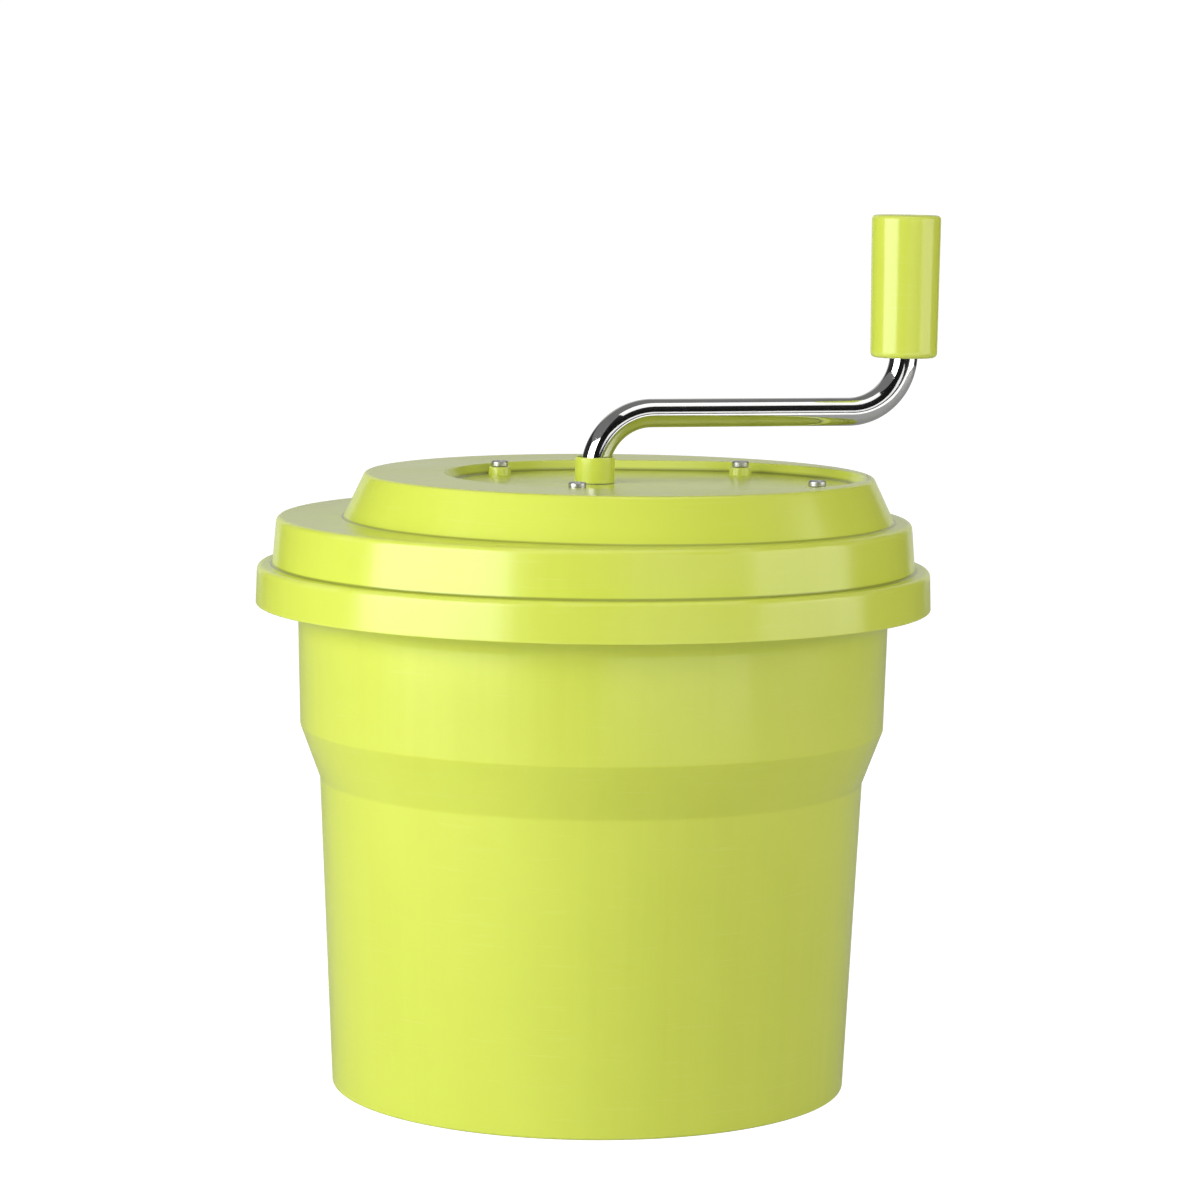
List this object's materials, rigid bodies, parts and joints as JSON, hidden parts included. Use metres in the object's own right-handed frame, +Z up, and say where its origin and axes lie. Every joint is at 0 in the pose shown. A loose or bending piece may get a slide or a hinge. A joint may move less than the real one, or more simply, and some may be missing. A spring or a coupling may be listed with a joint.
{
  "type": "salad spinner",
  "caption": "Tapered round bowl with a stepped lid whose geared, cranked rod handle spins a slotted basket inside to dry washed leaves.",
  "frame": {"origin": "centre of the flat pad under the bowl, on the bowl's axis, at the plane it stands on", "axes": "+Z up along the bowl's axis, +X towards the side where the crank's grip is at rest, -Y towards the viewer"},
  "size_m": [0.3344, 0.329, 0.4284],
  "materials": {
    "lime_plastic": "satin gloss, injection moulded",
    "white_plastic": "fine moulded grain",
    "acetal": "moulded, slightly waxy",
    "steel": "turned stainless steel",
    "chromed_rod": "polished chrome plate"
  },
  "bodies": {
    "bowl": {"outer_bowl": "lime_plastic", "pivot_pin": "steel"},
    "pivot": {"pivot_washer": "acetal"},
    "basket": {"basket": "white_plastic", "basket_bush": "acetal"},
    "lid": {"lid_cover": "lime_plastic", "gearcase_cover": "white_plastic", "case_screw_1": "steel", "case_screw_2": "steel", "case_screw_3": "steel", "case_screw_4": "steel", "crank_bush": "acetal", "output_bush": "acetal", "countershaft": "steel", "counter_washer": "steel"},
    "crank": {"crank_arm": "chromed_rod", "crank_hub": "lime_plastic", "drive_gear": "acetal", "gear_washer": "steel", "gear_screw": "steel", "grip_washer": "steel", "grip_screw": "steel"},
    "grip": {"grip": "lime_plastic", "grip_cap": "lime_plastic", "grip_bush_lower": "acetal", "grip_bush_upper": "acetal"},
    "counter": {"counter_gear": "acetal", "counter_pinion": "acetal"},
    "driver": {"output_shaft": "steel", "output_pinion": "acetal", "shaft_circlip": "steel", "basket_driver": "white_plastic", "driver_washer": "steel", "driver_screw": "steel"}
  },
  "joints": [
    {"name": "lid_lift", "type": "slide", "parent": "bowl", "child": "lid", "axis": [0, 0, 1], "range_m": [0, 0.5]},
    {"name": "crank_spin", "type": "hinge", "parent": "lid", "child": "crank", "pos_m": [0, 0, 0.297], "axis": [0, 0, 1], "continuous": true},
    {"name": "grip_spin", "type": "hinge", "parent": "crank", "child": "grip", "pos_m": [0.15284, 0.04383, 0.393], "axis": [0, 0, 1], "continuous": true},
    {"name": "counter_spin", "type": "hinge", "parent": "lid", "child": "counter", "pos_m": [0.05461, -0.03968, 0.279], "axis": [0, 0, 1], "continuous": true},
    {"name": "driver_spin", "type": "hinge", "parent": "lid", "child": "driver", "pos_m": [0, 0, 0.26], "axis": [0, 0, 1], "continuous": true},
    {"name": "basket_spin", "type": "hinge", "parent": "bowl", "child": "pivot", "pos_m": [0, 0, 0.0145], "axis": [0, 0, 1], "continuous": true},
    {"name": "basket_lift", "type": "slide", "parent": "pivot", "child": "basket", "axis": [0, 0, 1], "range_m": [0, 0.25]}
  ],
  "couplings": [
    {"joint": "counter_spin", "follows": "crank_spin", "ratio": -2},
    {"joint": "driver_spin", "follows": "crank_spin", "ratio": 4},
    {"joint": "basket_spin", "follows": "crank_spin", "ratio": 4},
    {"joint": "basket_lift", "follows": "lid_lift", "ratio": 0.5}
  ]
}
